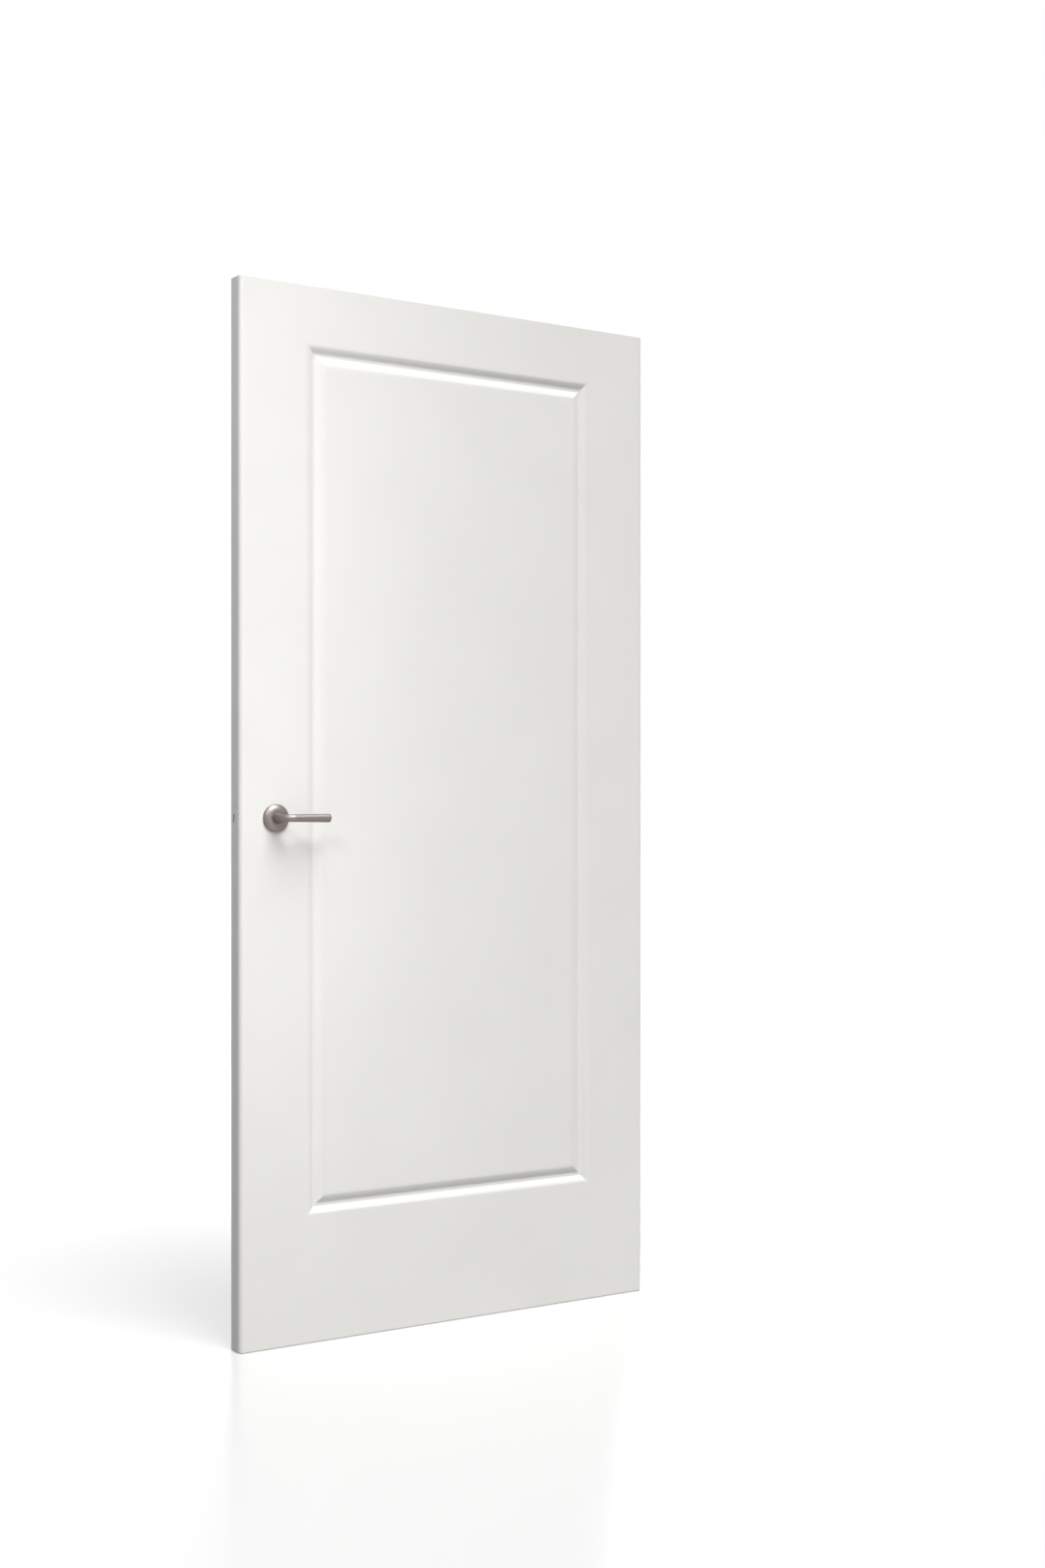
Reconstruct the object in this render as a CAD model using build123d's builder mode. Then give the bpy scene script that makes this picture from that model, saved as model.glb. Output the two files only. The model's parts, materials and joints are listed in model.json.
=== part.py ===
import os
from math import hypot, sqrt
from build123d import *

os.makedirs("parts", exist_ok=True)

# Door leaf, in millimetres
LEAF_W = 914.0
LEAF_H = 1981.0
LEAF_T = 44.0
EDGE_R = 10.0
END_R = 1.5
SKIN_T = 3.5
CUT_PAST = 10.0
STILE_W = 40.0
RAIL_H = 60.0

# Moulded panel, measured from the leaf edges to the outer line of the moulding
PANEL_SIDE = 134.0
PANEL_TOP = 107.0
PANEL_BOTTOM = 235.0
OVOLO_W = 21.0
PILLOW_W = 26.0
MOULD_D = 8.5
VALLEY_R = 12.0

# Butt hinges, with HINGE_FOOT and HINGE_HEAD from the ends of the leaf to a hinge's middle
PLATE_T = 3.0
HINGE_GAP = 3.0
HINGE_H = 102.0
HINGE_LEAF_W = 33.0
KNUCKLE_R = 6.0
KNUCKLE_COUNT = 5
KNUCKLE_PLAY = 0.2
PIN_R = 3.0
PIN_FIT = 0.05
PIN_STANDOFF = 5.0
PIN_TIP_R = 4.6
PIN_TIP_H = 3.5
PIN_TIP_ROUND = 1.5
HINGE_FOOT = 276.0
HINGE_HEAD = 201.0
KNUCKLE_RELIEF = 0.6
SCREW_R = 2.5
SCREW_HEAD_R = 4.6
SCREW_OUTER_PITCH = 78.0
SCREW_INNER_PITCH = 36.0
SCREW_OUTER_Y = 0.5
SCREW_INNER_Y = 12.0
MORTISE_FIT = 0.15

# Tubular latch of the magnetic kind, whose bolt lies inside the lock edge while the door stands open
BACKSET = 73.0
LATCH_H = 983.0
TUBE_R = 11.0
TUBE_WALL = 1.4
TUBE_END = 97.0
TUBE_FIT = 0.2
TUBE_END_PLAY = 0.5
FACE_W = 24.0
FACE_H = 57.0
FACE_T = 3.0
FACE_CORNER_R = 4.0
FACE_SCREW_PITCH = 44.0
FACE_SCREW_R = 1.9
FACE_SCREW_HEAD_R = 3.6
BOLT_W = 10.0
BOLT_H = 15.0
BOLT_L = 25.0
BOLT_INSET = 0.3
BOLT_FIT = 0.3
BOLT_NOSE_R = 4.0
SLOT_CORNER_R = 0.6
STEM_R = 3.0
STEM_L = 14.0
BLOCK_W = 86.0
BLOCK_H = 300.0

# Lever handles on round domed roses
ROSE_R = 26.0
ROSE_H = 10.0
ROSE_EDGE_H = 3.0
ROSE_WALL = 1.6
COLLAR_R = 13.0
SLEEVE_WALL = 2.2
NECK_R = 9.0
NECK_FIT = 0.08
NECK_INSET = 1.0
LEVER_LIFT = 0.3
LEVER_STANDOFF = 46.0
LEVER_L = 91.0
BEND_R = 18.0
HUB_R = 10.5
BEND_Z = 7.0
BEND_Y = 6.6
TIP_Z = 8.0
TIP_Y = 6.4
TIP_ROUND = 4.8
SPINDLE = 8.0
SPINDLE_CHAMFER = 0.4
SPINDLE_TURN_GAP = 1.0
SOCKET_FIT = 0.05
SOCKET_END_PLAY = 0.5
SPINDLE_REACH = 47.0
SPINDLE_BORE_R = 10.0

# Places that follow from the sizes above
HINGE_EDGE = -(PLATE_T + HINGE_GAP)
LOCK_EDGE = HINGE_EDGE - LEAF_W
MID_X = (HINGE_EDGE + LOCK_EDGE) / 2
BOTTOM = -HINGE_FOOT
TOP = BOTTOM + LEAF_H
MID_Z = (BOTTOM + TOP) / 2
FACE_Y = LEAF_T / 2
CORE_Y = FACE_Y - SKIN_T
SPINDLE_X = LOCK_EDGE + BACKSET
SPINDLE_Z = BOTTOM + LATCH_H
PIN_X = -(PLATE_T + HINGE_GAP / 2)
PIN_Y = FACE_Y + PIN_STANDOFF
PLATE_END = PIN_Y - HINGE_LEAF_W
PLATE_BACK = PIN_Y - KNUCKLE_R - KNUCKLE_RELIEF
HINGES = {
    "bottom": 0.0,
    "middle": (TOP - HINGE_HEAD) / 2,
    "top": TOP - HINGE_HEAD,
}

# Whole leaf as one block with round upright edges, used to trim every leaf piece to the same edge
with BuildPart() as envelope:
    with Locations((MID_X, 0, MID_Z)):
        Box(LEAF_W, LEAF_T, LEAF_H)
    fillet(envelope.edges().filter_by(Axis.Z), radius=EDGE_R)
    fillet(envelope.faces().filter_by(Axis.Z).edges(), radius=END_R)


def finish(builder, name):
    builder.part.label = name
    export_step(builder.part, f"parts/{name}.step")


def mortises(depth_end):
    # Shallow seats for the door side plates of the three hinges
    for z in HINGES.values():
        low = PLATE_END - MORTISE_FIT
        with Locations((HINGE_EDGE - PLATE_T, low, z)):
            Box(
                PLATE_T + CUT_PAST,
                depth_end - low,
                HINGE_H + 2 * MORTISE_FIT,
                align=(Align.MIN, Align.MIN, Align.CENTER),
                mode=Mode.SUBTRACT,
            )


# Pressed skins: flat border, moulded channel and raised field, all one thickness
OVOLO_R = (OVOLO_W**2 + MOULD_D**2) / (2 * MOULD_D)
PILLOW_R = (PILLOW_W**2 + MOULD_D**2) / (2 * MOULD_D)
MOULD_W = OVOLO_W + PILLOW_W
INNER_A = OVOLO_R - SKIN_T
INNER_B = PILLOW_R - SKIN_T
SPAN = hypot(MOULD_W, PILLOW_R - OVOLO_R)
ALONG = (INNER_A**2 - INNER_B**2 + SPAN**2) / (2 * SPAN)
ACROSS = sqrt(INNER_A**2 - ALONG**2)
UNIT_W = MOULD_W / SPAN
UNIT_D = (PILLOW_R - OVOLO_R) / SPAN
BACK_VALLEY = (
    ALONG * UNIT_W + ACROSS * UNIT_D,
    OVOLO_R + ALONG * UNIT_D - ACROSS * UNIT_W,
)
PANEL_W = LEAF_W - 2 * PANEL_SIDE
PANEL_H = LEAF_H - PANEL_TOP - PANEL_BOTTOM
PANEL_Z = BOTTOM + PANEL_BOTTOM + PANEL_H / 2

for name, side in (("front_skin", -1), ("back_skin", 1)):
    face = Plane(origin=(MID_X, side * FACE_Y, PANEL_Z), x_dir=(-side, 0, 0), z_dir=(0, side, 0))
    with BuildPart() as skin:
        with BuildSketch(face):
            with Locations((0, MID_Z - PANEL_Z)):
                Rectangle(LEAF_W, LEAF_H)
            Rectangle(PANEL_W, PANEL_H, mode=Mode.SUBTRACT)
        extrude(amount=-SKIN_T)
        with BuildSketch(face):
            Rectangle(PANEL_W - 2 * MOULD_W, PANEL_H - 2 * MOULD_W)
        extrude(amount=-SKIN_T)
        start = face.from_local_coords(Vector(0, -PANEL_H / 2, 0))
        section = Plane(origin=start, x_dir=(0, 0, 1), z_dir=(side, 0, 0))
        with BuildLine(face) as path:
            Polyline(
                (0, -PANEL_H / 2),
                (PANEL_W / 2, -PANEL_H / 2),
                (PANEL_W / 2, PANEL_H / 2),
                (-PANEL_W / 2, PANEL_H / 2),
                (-PANEL_W / 2, -PANEL_H / 2),
                close=True,
            )
        with BuildSketch(section) as profile:
            with BuildLine():
                RadiusArc((0, 0), (OVOLO_W, MOULD_D), -OVOLO_R)
                RadiusArc((OVOLO_W, MOULD_D), (MOULD_W, 0), -PILLOW_R)
                Line((MOULD_W, 0), (MOULD_W, SKIN_T))
                RadiusArc((MOULD_W, SKIN_T), BACK_VALLEY, INNER_B)
                RadiusArc(BACK_VALLEY, (0, SKIN_T), INNER_A)
                Line((0, SKIN_T), (0, 0))
            make_face()
            outer = profile.vertices().sort_by_distance((OVOLO_W, MOULD_D, 0))[0]
            fillet(outer, radius=VALLEY_R)
            inner = profile.vertices().sort_by_distance((*BACK_VALLEY, 0))[0]
            fillet(inner, radius=VALLEY_R + SKIN_T)
        sweep(path=path.wires()[0], transition=Transition.RIGHT)
        with BuildSketch(face):
            with Locations((side * (MID_X - SPINDLE_X), SPINDLE_Z - PANEL_Z)):
                Circle(SPINDLE_BORE_R)
        extrude(amount=-SKIN_T, mode=Mode.SUBTRACT)
        if side > 0:
            mortises(FACE_Y + CUT_PAST)
        add(envelope.part, mode=Mode.INTERSECT)
    finish(skin, name)

# Stiles, rails and the block behind the latch, all between the two skins
LEAF_PIECES = (
    ("lock_stile", LOCK_EDGE, LOCK_EDGE + STILE_W, BOTTOM, TOP),
    ("hinge_stile", HINGE_EDGE - STILE_W, HINGE_EDGE, BOTTOM, TOP),
    ("top_rail", LOCK_EDGE + STILE_W, HINGE_EDGE - STILE_W, TOP - RAIL_H, TOP),
    ("bottom_rail", LOCK_EDGE + STILE_W, HINGE_EDGE - STILE_W, BOTTOM, BOTTOM + RAIL_H),
    (
        "lock_block",
        LOCK_EDGE + STILE_W,
        LOCK_EDGE + STILE_W + BLOCK_W,
        SPINDLE_Z - BLOCK_H / 2,
        SPINDLE_Z + BLOCK_H / 2,
    ),
)
EDGE_PLANE = Plane(origin=(LOCK_EDGE, 0, SPINDLE_Z), x_dir=(0, 1, 0), z_dir=(1, 0, 0))
SPINDLE_PLANE = Plane(origin=(SPINDLE_X, 0, SPINDLE_Z), x_dir=(1, 0, 0), z_dir=(0, -1, 0))

for name, x_low, x_high, z_low, z_high in LEAF_PIECES:
    with BuildPart() as piece:
        with Locations(((x_low + x_high) / 2, 0, (z_low + z_high) / 2)):
            Box(x_high - x_low, 2 * CORE_Y, z_high - z_low)
        if name == "hinge_stile":
            mortises(CORE_Y + CUT_PAST)
        if name == "lock_stile":
            with BuildSketch(EDGE_PLANE):
                RectangleRounded(
                    FACE_W + 2 * MORTISE_FIT,
                    FACE_H + 2 * MORTISE_FIT,
                    FACE_CORNER_R + MORTISE_FIT,
                )
            extrude(amount=FACE_T, mode=Mode.SUBTRACT)
        if name in ("lock_stile", "lock_block"):
            with BuildSketch(EDGE_PLANE):
                Circle(TUBE_R + TUBE_FIT)
            extrude(amount=TUBE_END + TUBE_END_PLAY, mode=Mode.SUBTRACT)
        if name == "lock_block":
            with BuildSketch(SPINDLE_PLANE):
                Circle(SPINDLE_BORE_R)
            extrude(amount=LEAF_T, both=True, mode=Mode.SUBTRACT)
        add(envelope.part, mode=Mode.INTERSECT)
    finish(piece, name)

# Tubular latch: tube, face plate and sliding bolt
with BuildPart() as latch_tube:
    with BuildSketch(EDGE_PLANE.offset(FACE_T)):
        Circle(TUBE_R)
    extrude(amount=TUBE_END - FACE_T)
    with BuildSketch(EDGE_PLANE.offset(FACE_T)):
        Circle(TUBE_R - TUBE_WALL)
    extrude(amount=TUBE_END - FACE_T - TUBE_WALL, mode=Mode.SUBTRACT)
    with BuildSketch(SPINDLE_PLANE):
        Circle(SPINDLE / sqrt(2) + SPINDLE_TURN_GAP)
    extrude(amount=LEAF_T, both=True, mode=Mode.SUBTRACT)
finish(latch_tube, "latch_tube")

with BuildPart() as latch_face_plate:
    with BuildSketch(EDGE_PLANE):
        RectangleRounded(FACE_W, FACE_H, FACE_CORNER_R)
        RectangleRounded(
            BOLT_W + 2 * BOLT_FIT,
            BOLT_H + 2 * BOLT_FIT,
            SLOT_CORNER_R,
            mode=Mode.SUBTRACT,
        )
    extrude(amount=FACE_T)
    with Locations(Plane(origin=EDGE_PLANE.origin, x_dir=(0, 1, 0), z_dir=(-1, 0, 0))):
        with Locations((0, FACE_SCREW_PITCH / 2), (0, -FACE_SCREW_PITCH / 2)):
            CounterSinkHole(radius=FACE_SCREW_R, counter_sink_radius=FACE_SCREW_HEAD_R, depth=FACE_T)
finish(latch_face_plate, "latch_face_plate")

with BuildPart() as latch_bolt:
    with BuildSketch(EDGE_PLANE.offset(BOLT_INSET)):
        Rectangle(BOLT_W, BOLT_H)
    extrude(amount=BOLT_L)
    nose = latch_bolt.faces().sort_by(Axis.X)[0]
    fillet(nose.edges().filter_by(Axis.Z), radius=BOLT_NOSE_R)
    with BuildSketch(EDGE_PLANE.offset(BOLT_INSET + BOLT_L)):
        Circle(STEM_R)
    extrude(amount=STEM_L)
finish(latch_bolt, "latch_bolt")

# Roses, levers and the square spindle that joins the levers through the latch
BORE_R = NECK_R + NECK_FIT
SLEEVE_R = BORE_R + SLEEVE_WALL
RIM_IN_R = ROSE_R - ROSE_WALL
DOME_RISE = ROSE_H - ROSE_EDGE_H
DOME_R = ((ROSE_R - COLLAR_R) ** 2 + DOME_RISE**2) / (2 * DOME_RISE)
DOME_IN_R = DOME_R - ROSE_WALL
ROSE_TOP = FACE_Y + ROSE_H
DOME_EDGE = FACE_Y + ROSE_EDGE_H
DOME_IN_EDGE = ROSE_TOP - DOME_R + sqrt(DOME_IN_R**2 - (RIM_IN_R - COLLAR_R) ** 2)

for name, side in (("front_rose", -1), ("back_rose", 1)):
    with BuildPart() as rose:
        with BuildSketch(Plane(origin=(SPINDLE_X, 0, SPINDLE_Z), x_dir=(1, 0, 0), z_dir=(0, 0, 1))):
            with BuildLine():
                Polyline(
                    (COLLAR_R, side * ROSE_TOP),
                    (BORE_R, side * ROSE_TOP),
                    (BORE_R, side * FACE_Y),
                    (SLEEVE_R, side * FACE_Y),
                    (SLEEVE_R, side * (ROSE_TOP - ROSE_WALL)),
                    (COLLAR_R, side * (ROSE_TOP - ROSE_WALL)),
                )
                RadiusArc(
                    (COLLAR_R, side * (ROSE_TOP - ROSE_WALL)),
                    (RIM_IN_R, side * DOME_IN_EDGE),
                    side * DOME_IN_R,
                )
                Polyline(
                    (RIM_IN_R, side * DOME_IN_EDGE),
                    (RIM_IN_R, side * FACE_Y),
                    (ROSE_R, side * FACE_Y),
                    (ROSE_R, side * DOME_EDGE),
                )
                RadiusArc((COLLAR_R, side * ROSE_TOP), (ROSE_R, side * DOME_EDGE), side * DOME_R)
            make_face()
        revolve(axis=Axis((SPINDLE_X, 0, SPINDLE_Z), (0, 1, 0)))
    finish(rose, name)

LEVER_Y = FACE_Y + LEVER_STANDOFF
NECK_Y = FACE_Y + NECK_INSET
HUB_Y = ROSE_TOP + LEVER_LIFT
BEND_START = LEVER_Y - BEND_R
for name, side in (("front_lever", -1), ("back_lever", 1)):
    with BuildPart() as lever:
        inner_end = Plane(
            origin=(SPINDLE_X, side * NECK_Y, SPINDLE_Z),
            x_dir=(1, 0, 0),
            z_dir=(0, side, 0),
        )
        with BuildSketch(inner_end):
            Circle(NECK_R)
        extrude(amount=HUB_Y - NECK_Y)
        with BuildSketch(inner_end.offset(HUB_Y - NECK_Y)):
            Circle(HUB_R)
        with BuildSketch(inner_end.offset(BEND_START - NECK_Y)):
            Ellipse(BEND_Y, BEND_Z)
        loft()
        with BuildLine() as bend:
            RadiusArc(
                (SPINDLE_X, side * BEND_START, SPINDLE_Z),
                (SPINDLE_X + BEND_R, side * LEVER_Y, SPINDLE_Z),
                side * BEND_R,
            )
        with BuildSketch(inner_end.offset(BEND_START - NECK_Y)):
            Ellipse(BEND_Y, BEND_Z)
        sweep(path=bend.wires()[0])
        bar = Plane(
            origin=(SPINDLE_X + BEND_R, side * LEVER_Y, SPINDLE_Z),
            x_dir=(0, 1, 0),
            z_dir=(1, 0, 0),
        )
        with BuildSketch(bar):
            Ellipse(BEND_Y, BEND_Z)
        with BuildSketch(bar.offset(LEVER_L - BEND_R)):
            Ellipse(TIP_Y, TIP_Z)
        loft()
        fillet(lever.faces().sort_by(Axis.X)[-1].edges(), radius=TIP_ROUND)
        with BuildSketch(inner_end):
            Rectangle(SPINDLE + 2 * SOCKET_FIT, SPINDLE + 2 * SOCKET_FIT)
        extrude(amount=SPINDLE_REACH + SOCKET_END_PLAY - NECK_Y, mode=Mode.SUBTRACT)
    finish(lever, name)

with BuildPart() as spindle:
    with Locations((SPINDLE_X, 0, SPINDLE_Z)):
        Box(SPINDLE, 2 * SPINDLE_REACH, SPINDLE)
    chamfer(spindle.edges().filter_by(Axis.Y), length=SPINDLE_CHAMFER)
finish(spindle, "spindle")

# Butt hinges: frame side plates, door side plates and loose pins
ZONE = HINGE_H / KNUCKLE_COUNT
for place, z in HINGES.items():
    for name, plate_low, first in (
        (f"{place}_hinge_frame_leaf", -PLATE_T, 0),
        (f"{place}_hinge_door_leaf", HINGE_EDGE - PLATE_T, 1),
    ):
        with BuildPart() as hinge_leaf:
            with Locations((plate_low, PLATE_END, z)):
                Box(
                    PLATE_T,
                    PLATE_BACK - PLATE_END,
                    HINGE_H,
                    align=(Align.MIN, Align.MIN, Align.CENTER),
                )
            for knuckle in range(first, KNUCKLE_COUNT, 2):
                z_low = z - HINGE_H / 2 + knuckle * ZONE + (KNUCKLE_PLAY if knuckle else 0)
                z_high = z - HINGE_H / 2 + (knuckle + 1) * ZONE
                z_high -= KNUCKLE_PLAY if knuckle < KNUCKLE_COUNT - 1 else 0
                with Locations((plate_low, PLATE_BACK, z_low)):
                    Box(
                        PLATE_T,
                        PIN_Y - PLATE_BACK,
                        z_high - z_low,
                        align=(Align.MIN, Align.MIN, Align.MIN),
                    )
                with Locations((PIN_X, PIN_Y, z_low)):
                    Cylinder(KNUCKLE_R, z_high - z_low, align=(Align.CENTER, Align.CENTER, Align.MIN))
            with Locations((PIN_X, PIN_Y, z)):
                Cylinder(PIN_R + PIN_FIT, HINGE_H + CUT_PAST, mode=Mode.SUBTRACT)
            inward = -1 if first == 0 else 1
            seen = plate_low if first == 0 else plate_low + PLATE_T
            with Locations(Plane(origin=(seen, 0, z), x_dir=(0, 1, 0), z_dir=(inward, 0, 0))):
                with Locations(
                    (SCREW_OUTER_Y, SCREW_OUTER_PITCH / 2),
                    (SCREW_OUTER_Y, -SCREW_OUTER_PITCH / 2),
                    (SCREW_INNER_Y, SCREW_INNER_PITCH / 2),
                    (SCREW_INNER_Y, -SCREW_INNER_PITCH / 2),
                ):
                    CounterSinkHole(radius=SCREW_R, counter_sink_radius=SCREW_HEAD_R, depth=PLATE_T)
        finish(hinge_leaf, name)
    with BuildPart() as pin:
        with Locations((PIN_X, PIN_Y, z)):
            Cylinder(PIN_R, HINGE_H)
        for end in (-1, 1):
            with Locations((PIN_X, PIN_Y, z + end * (HINGE_H / 2 + PIN_TIP_H / 2))):
                Cylinder(PIN_TIP_R, PIN_TIP_H)
        ends = pin.edges().group_by(Axis.Z)
        fillet(ends[0] + ends[-1], radius=PIN_TIP_ROUND)
    finish(pin, f"{place}_hinge_pin")
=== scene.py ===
import bpy
import json
import math
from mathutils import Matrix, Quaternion, Vector


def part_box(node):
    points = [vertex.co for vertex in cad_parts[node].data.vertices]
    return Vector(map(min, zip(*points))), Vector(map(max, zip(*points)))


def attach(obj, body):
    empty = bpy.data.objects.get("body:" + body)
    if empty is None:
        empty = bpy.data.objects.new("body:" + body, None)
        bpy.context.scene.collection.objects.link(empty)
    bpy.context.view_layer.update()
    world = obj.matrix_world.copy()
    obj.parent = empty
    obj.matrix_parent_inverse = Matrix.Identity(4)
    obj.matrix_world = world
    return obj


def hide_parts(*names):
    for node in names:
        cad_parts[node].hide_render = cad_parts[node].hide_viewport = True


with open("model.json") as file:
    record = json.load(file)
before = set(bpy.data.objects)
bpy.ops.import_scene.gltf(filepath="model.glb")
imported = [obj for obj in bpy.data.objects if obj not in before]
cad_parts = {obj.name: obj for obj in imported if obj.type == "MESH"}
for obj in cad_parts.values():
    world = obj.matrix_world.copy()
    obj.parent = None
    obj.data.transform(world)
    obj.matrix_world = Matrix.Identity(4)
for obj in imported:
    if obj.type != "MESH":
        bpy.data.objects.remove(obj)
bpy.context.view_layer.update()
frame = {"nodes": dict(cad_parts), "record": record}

# Sizes of the leaf and its fittings, in metres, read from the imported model
lock_low, lock_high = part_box("lock_stile")
spindle_low, spindle_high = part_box("spindle")
plate_low, plate_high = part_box("latch_face_plate")
LOCK_EDGE, HINGE_EDGE = lock_low.x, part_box("hinge_stile")[1].x
FOOT, HEAD = lock_low.z, lock_high.z
FACE, CORE = -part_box("front_skin")[0].y, lock_high.y
SKIN = FACE - CORE
SPINDLE = (spindle_low + spindle_high) / 2
HINGE_PLACES = ("bottom", "middle", "top")

# The rounded edges, the pressed panel and the seats of the fittings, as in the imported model
EDGE_ROUND, END_ROUND = 0.010, 0.0015
PANEL_SIDE, PANEL_TOP, PANEL_FOOT = 0.134, 0.107, 0.235
OVOLO, PILLOW, DEPTH, VALLEY = 0.021, 0.026, 0.0085, 0.012
HINGE_PLATE, SEAT_FIT, SPINDLE_BORE = 0.003, 0.00015, 0.010
PLATE_CORNER, TUBE_BORE = 0.00415, 0.0112

# Sizes that only this script has
RAIL_EASE = 0.0004
OVERCUT, PLATE_OVERCUT, TUBE_HOLE_L = 0.010, 0.005, 0.06
EDGE_STEPS, END_STEPS, EASE_STEPS, CORNER_STEPS = 24, 5, 3, 10
OVOLO_STEPS, VALLEY_STEPS, PILLOW_STEPS = 12, 14, 14
LEAF_SMOOTH_DEG, SCREW_SMOOTH_DEG = 13, 30


def clear_selection():
    if bpy.context.mode != "OBJECT":
        bpy.ops.object.mode_set(mode="OBJECT")
    bpy.ops.object.select_all(action="DESELECT")


def pick_piece(piece):
    clear_selection()
    piece.select_set(True)
    bpy.context.view_layer.objects.active = piece


def settle(piece, name):
    pick_piece(piece)
    bpy.ops.object.transform_apply(location=True, rotation=True, scale=True)
    piece.name = name
    piece.data.name = name
    return piece


def start_edit(piece, mode="FACE"):
    pick_piece(piece)
    bpy.ops.object.mode_set(mode="EDIT")
    bpy.ops.mesh.select_mode(type=mode)
    bpy.ops.mesh.select_all(action="DESELECT")


def pick_faces(piece, wanted):
    bpy.ops.mesh.select_all(action="DESELECT")
    bpy.ops.object.mode_set(mode="OBJECT")
    for face in piece.data.polygons:
        face.select = wanted(face.center, face.normal)
    bpy.ops.object.mode_set(mode="EDIT")


def pick_edges(piece, wanted):
    # Faces left selected by the last step would bring their edges along, so all is deselected first
    bpy.ops.mesh.select_all(action="DESELECT")
    bpy.ops.object.mode_set(mode="OBJECT")
    points = piece.data.vertices
    for edge in piece.data.edges:
        edge.select = wanted(points[edge.vertices[0]].co, points[edge.vertices[1]].co)
    bpy.ops.object.mode_set(mode="EDIT")


def saw(place, normal, **waste):
    bpy.ops.mesh.select_all(action="SELECT")
    bpy.ops.mesh.bisect(plane_co=place, plane_no=normal, **waste)


def apply_modifier(piece, kind, **settings):
    pick_piece(piece)
    modifier = piece.modifiers.new(kind.title(), kind)
    for key, value in settings.items():
        setattr(modifier, key, value)
    bpy.ops.object.modifier_apply(modifier=modifier.name)


def carve(piece, cutter):
    apply_modifier(piece, "BOOLEAN", operation="DIFFERENCE", object=cutter, solver="EXACT")
    bpy.data.objects.remove(cutter)


def smooth(piece, degrees):
    pick_piece(piece)
    bpy.ops.object.shade_smooth_by_angle(angle=math.radians(degrees))
    apply_modifier(piece, "WEIGHTED_NORMAL", keep_sharp=True, weight=80)


def block(name, low, high):
    clear_selection()
    low, high = Vector(low), Vector(high)
    bpy.ops.mesh.primitive_cube_add(size=1, location=(low + high) / 2, scale=high - low)
    return settle(bpy.context.object, name)


def bore(name, start, along, length, radius):
    clear_selection()
    turn = Vector(along).to_track_quat("Z", "Y").to_euler()
    middle = Vector(start) + Vector(along) * length / 2
    bpy.ops.mesh.primitive_cylinder_add(
        vertices=64, radius=radius, depth=length, location=middle, rotation=turn)
    return settle(bpy.context.object, name)


# Leaf: one block with rounded edges, sawn into two skins, two stiles and two rails
def rounded_leaf(name):
    leaf = block(name, (LOCK_EDGE, -FACE, FOOT), (HINGE_EDGE, FACE, HEAD))
    start_edit(leaf, "EDGE")
    pick_edges(leaf, lambda a, b: abs(a.z - b.z) > 0.1)
    bpy.ops.mesh.bevel(offset=EDGE_ROUND, segments=EDGE_STEPS, profile=0.5, affect="EDGES")
    pick_edges(leaf, lambda a, b: abs(a.z - b.z) < 0.0001)
    bpy.ops.mesh.bevel(offset=END_ROUND, segments=END_STEPS, profile=0.5, affect="EDGES")
    return leaf


def moulding_line(back):
    # Depth of the pressed moulding from its outer line inwards, on the front or on the back of the sheet
    ovolo_r = (OVOLO**2 + DEPTH**2) / (2 * DEPTH)
    pillow_r = (PILLOW**2 + DEPTH**2) / (2 * DEPTH)
    width = OVOLO + PILLOW
    # Centre of the valley's arc, which touches the ovolo's arc and the pillow's arc from outside
    a, b = ovolo_r + VALLEY, pillow_r + VALLEY
    span = math.hypot(width, pillow_r - ovolo_r)
    along = (a * a - b * b + span * span) / (2 * span)
    across = math.sqrt(a * a - along * along)
    unit_w, unit_d = width / span, (pillow_r - ovolo_r) / span
    centre_w = along * unit_w + across * unit_d
    centre_d = ovolo_r + along * unit_d - across * unit_w
    first = math.atan2(centre_w, ovolo_r - centre_d)
    last = math.atan2(width - centre_w, pillow_r - centre_d)
    line = []
    for i in range(OVOLO_STEPS + 1):
        turn = first * i / OVOLO_STEPS
        reach = ovolo_r - back
        line.append((reach * math.sin(turn), ovolo_r - reach * math.cos(turn)))
    for i in range(1, VALLEY_STEPS):
        turn = -first + (first + last) * i / VALLEY_STEPS
        reach = VALLEY + back
        line.append((centre_w + reach * math.sin(turn), centre_d + reach * math.cos(turn)))
    for i in range(PILLOW_STEPS + 1):
        turn = last * (1 - i / PILLOW_STEPS)
        reach = pillow_r - back
        line.append((width - reach * math.sin(turn), pillow_r - reach * math.cos(turn)))
    return line


def press_panel(skin, side, front):
    # Insets the panel step by step along the moulding's line
    middle_x = (LOCK_EDGE + HINGE_EDGE) / 2
    middle_z = (FOOT + PANEL_FOOT + HEAD - PANEL_TOP) / 2
    out = side if front else -side

    def panel_face(centre, normal):
        near = abs(centre.x - middle_x) < 0.01 and abs(centre.z - middle_z) < 0.01
        return normal.y * out > 0.9 and near

    pick_faces(skin, panel_face)
    line = moulding_line(0 if front else SKIN)
    for (w0, d0), (w1, d1) in zip(line, line[1:]):
        inward = d1 - d0
        bpy.ops.mesh.inset(thickness=w1 - w0, depth=-inward if front else inward, use_even_offset=True)


def moulded_skin(name, side):
    skin = rounded_leaf(name)
    saw((0, side * CORE, 0), (0, side, 0), clear_inner=True, use_fill=True)
    for x in (LOCK_EDGE + PANEL_SIDE, HINGE_EDGE - PANEL_SIDE):
        saw((x, 0, 0), (1, 0, 0))
    for z in (FOOT + PANEL_FOOT, HEAD - PANEL_TOP):
        saw((0, 0, z), (0, 0, 1))
    bpy.ops.mesh.select_mode(type="FACE")
    press_panel(skin, side, True)
    press_panel(skin, side, False)
    clear_selection()
    start = (SPINDLE.x, -FACE - OVERCUT, SPINDLE.z)
    carve(skin, bore("spindle_hole", start, (0, 1, 0), 2 * (FACE + OVERCUT), SPINDLE_BORE))
    return skin


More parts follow.
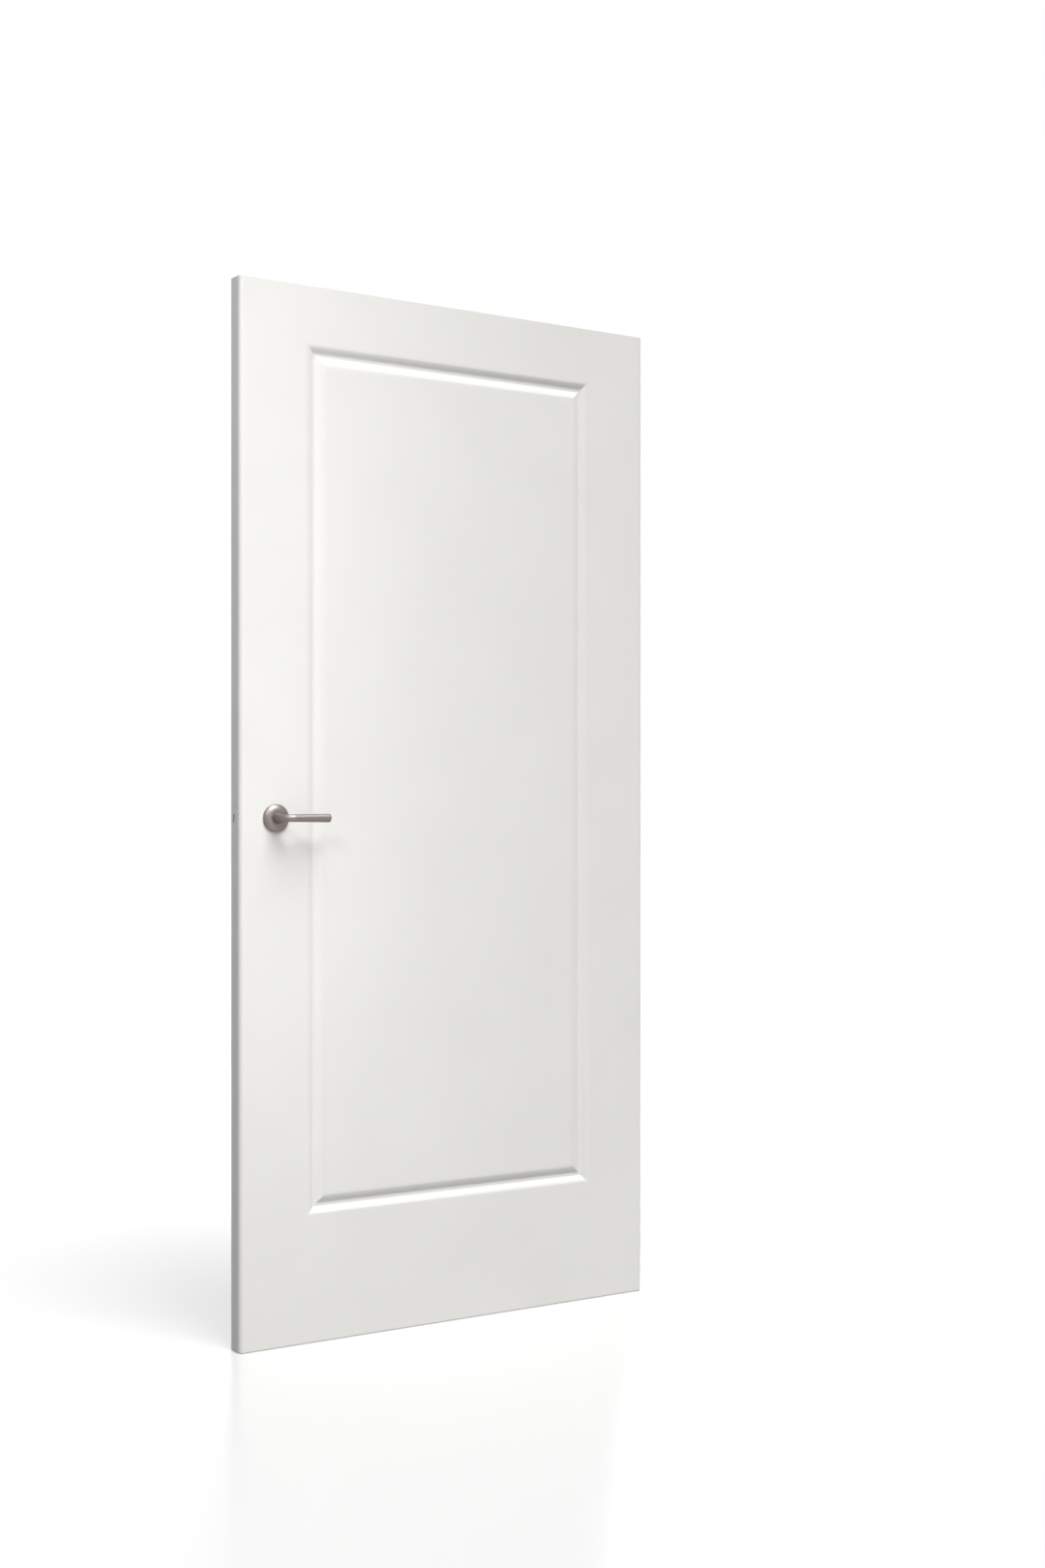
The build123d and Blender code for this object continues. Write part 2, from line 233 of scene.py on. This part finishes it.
def edge_board(name, node):
    # A stile or rail between the skins, sawn on the sides where it stops short of the leaf's own edge
    board = rounded_leaf(name)
    low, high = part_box(node)
    for side in (-1, 1):
        saw((0, side * CORE, 0), (0, side, 0), clear_outer=True, use_fill=True)
    if low.x > LOCK_EDGE + EDGE_ROUND:
        saw((low.x, 0, 0), (-1, 0, 0), clear_outer=True, use_fill=True)
    if high.x < HINGE_EDGE - EDGE_ROUND:
        saw((high.x, 0, 0), (1, 0, 0), clear_outer=True, use_fill=True)
    if low.z > FOOT + EDGE_ROUND:
        saw((0, 0, low.z), (0, 0, -1), clear_outer=True, use_fill=True)
    if high.z < HEAD - EDGE_ROUND:
        saw((0, 0, high.z), (0, 0, 1), clear_outer=True, use_fill=True)
    clear_selection()
    return board


def eased_rail(name, node):
    rail = edge_board(name, node)
    start_edit(rail, "EDGE")
    pick_edges(rail, lambda a, b: True)
    bpy.ops.mesh.bevel(offset=RAIL_EASE, segments=EASE_STEPS, profile=0.5, affect="EDGES")
    clear_selection()
    return rail


def cut_hinge_seats(piece):
    for place in HINGE_PLACES:
        low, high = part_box(f"{place}_hinge_door_leaf")
        start = (HINGE_EDGE - HINGE_PLATE, low.y - SEAT_FIT, low.z - SEAT_FIT)
        end = (HINGE_EDGE + OVERCUT, FACE + OVERCUT, high.z + SEAT_FIT)
        carve(piece, block("hinge_seat", start, end))


def cut_latch_seat(piece):
    fit = Vector((0, SEAT_FIT, SEAT_FIT))
    seat = block("plate_seat", plate_low - fit - Vector((PLATE_OVERCUT, 0, 0)), plate_high + fit)
    start_edit(seat, "EDGE")
    pick_edges(seat, lambda a, b: abs(a.x - b.x) > 0.001)
    bpy.ops.mesh.bevel(offset=PLATE_CORNER, segments=CORNER_STEPS, affect="EDGES")
    carve(piece, seat)
    start = (LOCK_EDGE - PLATE_OVERCUT, 0, SPINDLE.z)
    carve(piece, bore("tube_hole", start, (1, 0, 0), TUBE_HOLE_L, TUBE_BORE))


leaf_pieces = {
    "front_skin": moulded_skin("front_moulded_skin", -1),
    "back_skin": moulded_skin("back_moulded_skin", 1),
    "lock_stile": edge_board("lock_edge_board", "lock_stile"),
    "hinge_stile": edge_board("hinge_edge_board", "hinge_stile"),
    "top_rail": eased_rail("top_edge_board", "top_rail"),
    "bottom_rail": eased_rail("bottom_edge_board", "bottom_rail"),
}
cut_hinge_seats(leaf_pieces["back_skin"])
cut_hinge_seats(leaf_pieces["hinge_stile"])
cut_latch_seat(leaf_pieces["lock_stile"])
for node, piece in leaf_pieces.items():
    smooth(piece, LEAF_SMOOTH_DEG)
    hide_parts(node)
    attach(piece, "leaf")


# Countersunk screws with a cross recess, shaped in millimetres and then scaled to metres
SINK_DEG = 41
RIM_BEVEL = 0.06
RECESS_HALF_L, RECESS_HALF_W, RECESS_DEPTH = 0.62, 0.13, 0.42
RECESS_TAPER = (0.45, 0.6, 1)
SCREW_L = 2.95
HINGE_SCREW_HEAD, HINGE_SCREW_SHANK = 4.5, 2.45
PLATE_SCREW_HEAD, PLATE_SCREW_SHANK = 3.5, 1.85
MM, SCREW_SINK = 0.001, 0.00005
HINGE_SCREW_SPOTS = ((0.0005, -0.039), (0.012, -0.018), (0.012, 0.018), (0.0005, 0.039))
PLATE_SCREW_SPOTS = (-0.022, 0.022)


def cross_screw(name, head, shank):
    # The rim's bevel and the recess are shares of the head's radius
    clear_selection()
    sink = (head - shank) / math.tan(math.radians(SINK_DEG))
    bpy.ops.mesh.primitive_cone_add(
        vertices=48, radius1=shank, radius2=head, depth=sink, location=(0, 0, -sink / 2))
    screw = settle(bpy.context.object, name)
    start_edit(screw)
    pick_faces(screw, lambda centre, normal: normal.z < -0.9)
    bpy.ops.mesh.extrude_region_move(TRANSFORM_OT_translate={"value": (0, 0, sink - SCREW_L)})
    bpy.ops.mesh.select_mode(type="EDGE")
    pick_edges(screw, lambda a, b: min(a.z, b.z) > -0.001)
    bpy.ops.mesh.bevel(offset=RIM_BEVEL * head, segments=3, affect="EDGES")
    half_l, half_w, depth = RECESS_HALF_L * head, RECESS_HALF_W * head, RECESS_DEPTH * head
    for turn in (0, 90):
        arm = block("recess_arm", (-half_l, -half_w, -depth), (half_l, half_w, head))
        start_edit(arm)
        pick_faces(arm, lambda centre, normal: normal.z < -0.9)
        bpy.ops.transform.resize(value=RECESS_TAPER)
        clear_selection()
        arm.rotation_euler.z = math.radians(turn)
        carve(screw, settle(arm, "recess_arm"))
    smooth(screw, SCREW_SMOOTH_DEG)
    return screw


def drive(pattern, name, place, way, turn):
    # A copy of a screw with its head at the place, facing the way, its recess turned
    screw = bpy.data.objects.new(name, pattern.data.copy())
    bpy.context.scene.collection.objects.link(screw)
    screw.rotation_mode = "QUATERNION"
    screw.rotation_quaternion = Vector(way).to_track_quat("Z", "Y") @ Quaternion((0, 0, 1), math.radians(turn))
    screw.scale = (MM, MM, MM)
    screw.location = place
    return settle(screw, name)


hinge_screw = cross_screw("hinge_screw", HINGE_SCREW_HEAD, HINGE_SCREW_SHANK)
plate_screw = cross_screw("plate_screw", PLATE_SCREW_HEAD, PLATE_SCREW_SHANK)
hinge_screws, plate_screws = [], []
for i, place in enumerate(HINGE_PLACES):
    low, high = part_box(f"{place}_hinge_door_leaf")
    middle = (low.z + high.z) / 2
    for k, (y, z) in enumerate(HINGE_SCREW_SPOTS):
        spot = (HINGE_EDGE - SCREW_SINK, y, middle + z)
        turn = 17 + 53 * k + 29 * i
        screw = drive(hinge_screw, f"{place}_hinge_screw_{k + 1}", spot, (1, 0, 0), turn)
        hinge_screws.append(screw)
for k, z in enumerate(PLATE_SCREW_SPOTS):
    spot = (LOCK_EDGE + SCREW_SINK, 0, SPINDLE.z + z)
    screw = drive(plate_screw, f"face_plate_screw_{k + 1}", spot, (-1, 0, 0), 12 + 40 * k)
    plate_screws.append(screw)
for screw in hinge_screws + plate_screws:
    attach(screw, "leaf")
for pattern in (hinge_screw, plate_screw):
    bpy.data.objects.remove(pattern)


# Finishes
def new_finish(name):
    finish = bpy.data.materials.new(name)
    finish.use_nodes = True
    nodes = finish.node_tree.nodes
    return finish, nodes, finish.node_tree.links, nodes["Principled BSDF"]


def noise(nodes, links, scale, detail, stretch=(1, 1, 1)):
    place = nodes.new("ShaderNodeTexCoord")
    mapping = nodes.new("ShaderNodeMapping")
    mapping.inputs["Scale"].default_value = stretch
    grain = nodes.new("ShaderNodeTexNoise")
    grain.inputs["Scale"].default_value = scale
    grain.inputs["Detail"].default_value = detail
    links.new(place.outputs["Object"], mapping.inputs["Vector"])
    links.new(mapping.outputs["Vector"], grain.inputs["Vector"])
    return grain


def tint(nodes, links, source, dark, pale, shader):
    # Colours the shader between two tones by a noise
    band = nodes.new("ShaderNodeValToRGB")
    band.color_ramp.elements[0].position = 0.3
    band.color_ramp.elements[1].position = 0.7
    band.color_ramp.elements[0].color = (*dark, 1)
    band.color_ramp.elements[1].color = (*pale, 1)
    links.new(source.outputs["Fac"], band.inputs["Fac"])
    links.new(band.outputs["Color"], shader.inputs["Base Color"])


def gloss(nodes, links, source, low, high, shader):
    # Varies the shader's roughness in a narrow span by a noise
    span = nodes.new("ShaderNodeMapRange")
    span.inputs["From Min"].default_value = 0.3
    span.inputs["From Max"].default_value = 0.7
    span.inputs["To Min"].default_value = low
    span.inputs["To Max"].default_value = high
    links.new(source.outputs["Fac"], span.inputs["Value"])
    links.new(span.outputs["Result"], shader.inputs["Roughness"])


def bump(nodes, links, source, strength, distance, shader):
    raised = nodes.new("ShaderNodeBump")
    raised.inputs["Strength"].default_value = strength
    raised.inputs["Distance"].default_value = distance
    links.new(source.outputs["Fac"], raised.inputs["Height"])
    links.new(raised.outputs["Normal"], shader.inputs["Normal"])


def lacquer():
    finish, nodes, links, shader = new_finish("white_satin_lacquer")
    cloud = noise(nodes, links, 5.0, 3.0)
    tint(nodes, links, cloud, (0.768, 0.760, 0.735), (0.792, 0.784, 0.760), shader)
    mist = noise(nodes, links, 60.0, 3.0, (1, 1, 0.35))
    gloss(nodes, links, mist, 0.36, 0.44, shader)
    peel = noise(nodes, links, 420.0, 2.0)
    bump(nodes, links, peel, 0.12, 0.0002, shader)
    return finish


def brushed(name, dark, pale, rough, scale, stretch):
    finish, nodes, links, shader = new_finish(name)
    shader.inputs["Metallic"].default_value = 1.0
    streak = noise(nodes, links, scale, 3.0, stretch)
    tint(nodes, links, streak, dark, pale, shader)
    gloss(nodes, links, streak, rough - 0.04, rough + 0.04, shader)
    bump(nodes, links, streak, 0.08, 0.00003, shader)
    return finish


def sawn_wood():
    finish, nodes, links, shader = new_finish("sawn_softwood")
    grain = noise(nodes, links, 90.0, 4.0, (1, 1, 0.06))
    tint(nodes, links, grain, (0.52, 0.36, 0.21), (0.66, 0.49, 0.31), shader)
    shader.inputs["Roughness"].default_value = 0.8
    bump(nodes, links, grain, 0.3, 0.0005, shader)
    return finish


ALONG_X, ALONG_Z = (0.05, 1, 1), (1, 1, 0.05)
white = lacquer()
nickel = brushed("satin_nickel", (0.205, 0.180, 0.169), (0.230, 0.202, 0.190), 0.45, 3000.0, ALONG_X)
# A paler copy of the satin nickel for the lock edge's fittings: painted light, raised to the lit lock edge's
# tone instead of the metal's own colour
plate_nickel_painted_light = brushed("nickel_painted_paler", (0.36, 0.355, 0.345), (0.40, 0.395, 0.385), 0.46, 3000.0, ALONG_Z)
steel = brushed("satin_steel", (0.42, 0.416, 0.404), (0.48, 0.475, 0.462), 0.38, 2000.0, ALONG_Z)
softwood = sawn_wood()
finishes = {"white_lacquer": white, "satin_nickel": nickel, "steel": steel, "softwood": softwood}


def paint(piece, finish):
    piece.data.materials.clear()
    piece.data.materials.append(finish)


for piece in leaf_pieces.values():
    paint(piece, white)
for screw in hinge_screws:
    paint(screw, steel)
# The face plate's screws take the paler nickel copy, with its painted light
for screw in plate_screws:
    paint(screw, plate_nickel_painted_light)
for entry in frame["record"]["subparts"]:
    paint(frame["nodes"][entry["node"]], finishes[entry["material_slot"]])
# The latch's face plate and bolt take the paler nickel copy, with its painted light
for node in ("latch_face_plate", "latch_bolt"):
    paint(frame["nodes"][node], plate_nickel_painted_light)


# Studio
def white_for_view(nodes, links):
    # One for camera, mirror and glass rays, none for light that falls on the door
    path = nodes.new("ShaderNodeLightPath")
    first = nodes.new("ShaderNodeMath")
    first.operation = "MAXIMUM"
    links.new(path.outputs["Is Camera Ray"], first.inputs[0])
    links.new(path.outputs["Is Glossy Ray"], first.inputs[1])
    second = nodes.new("ShaderNodeMath")
    second.operation = "MAXIMUM"
    links.new(first.outputs["Value"], second.inputs[0])
    links.new(path.outputs["Is Transmission Ray"], second.inputs[1])
    return second


def link_for_view(nodes, links, other, seen, socket):
    # One value for the light that falls on the door, another for what the camera and mirrors see
    span = nodes.new("ShaderNodeMapRange")
    span.inputs["To Min"].default_value = other
    span.inputs["To Max"].default_value = seen
    links.new(white_for_view(nodes, links).outputs["Value"], span.inputs["Value"])
    links.new(span.outputs["Result"], socket)


def studio_world():
    world = bpy.data.worlds.new("studio")
    bpy.context.scene.world = world
    world.use_nodes = True
    nodes, links = world.node_tree.nodes, world.node_tree.links
    glow = nodes["Background"]
    glow.inputs["Color"].default_value = (1, 1, 1, 1)
    link_for_view(nodes, links, 0.0, 1.0, glow.inputs["Strength"])


def studio_floor():
    # It throws little light back on the door, and looks white where the door's shadow isn't
    clear_selection()
    bpy.ops.mesh.primitive_plane_add(size=60, location=(0, 0, FOOT - 0.0005))
    floor = settle(bpy.context.object, "floor")
    finish, nodes, links, shader = new_finish("pale_floor")
    link_for_view(nodes, links, 0.20, 0.45, shader.inputs["Base Color"])
    shader.inputs["Roughness"].default_value = 0.2
    shader.inputs["Emission Color"].default_value = (1, 1, 1, 1)
    link_for_view(nodes, links, 0.0, 0.29, shader.inputs["Emission Strength"])
    paint(floor, finish)


def hang_light(name, data, place, aim):
    light = bpy.data.objects.new(name, data)
    bpy.context.scene.collection.objects.link(light)
    light.location = place
    light.rotation_mode = "QUATERNION"
    light.rotation_quaternion = (Vector(aim) - Vector(place)).to_track_quat("-Z", "Y")


def far_lamp(name, place, aim, strength, spread_deg):
    data = bpy.data.lights.new(name, "SUN")
    data.energy = strength
    data.angle = math.radians(spread_deg)
    hang_light(name, data, place, aim)


def soft_box(name, place, aim, width, height, power):
    data = bpy.data.lights.new(name, "AREA")
    data.shape = "RECTANGLE"
    data.size = width
    data.size_y = height
    data.energy = power
    hang_light(name, data, place, aim)


studio_world()
studio_floor()
far_lamp("overhead_key", (-0.36, -1.9, 4.3), (-0.46, 0, 0.72), strength=4.25, spread_deg=38)
soft_box("left_wash", (-2.40, -1.50, 2.20), (-0.75, 0, 0.90), width=0.6, height=0.6, power=15)
soft_box("lock_side_strip", (-0.88, -0.45, 0.95), (-0.87, 0, 0.95), width=0.25, height=1.7, power=0.95)
soft_box("lock_edge_fill", (-1.60, -0.35, 2.20), (-0.92, 0, 1.30), width=0.5, height=0.5, power=0.2)
soft_box("back_fill", (1.5, 3.0, 1.5), (-0.46, 0, 0.75), width=1.6, height=1.6, power=78)

camera_data = bpy.data.cameras.new("camera")
camera = bpy.data.objects.new("camera", camera_data)
bpy.context.scene.collection.objects.link(camera)
camera.location = (-2.4811, -3.3996, 0.7201)
camera.rotation_euler = (math.radians(90), 0, math.radians(-32.823))
camera_data.lens = 46.138
camera_data.sensor_width = 36
camera_data.shift_y = 0.01724
bpy.context.scene.camera = camera
bpy.context.scene.view_settings.view_transform = "Standard"
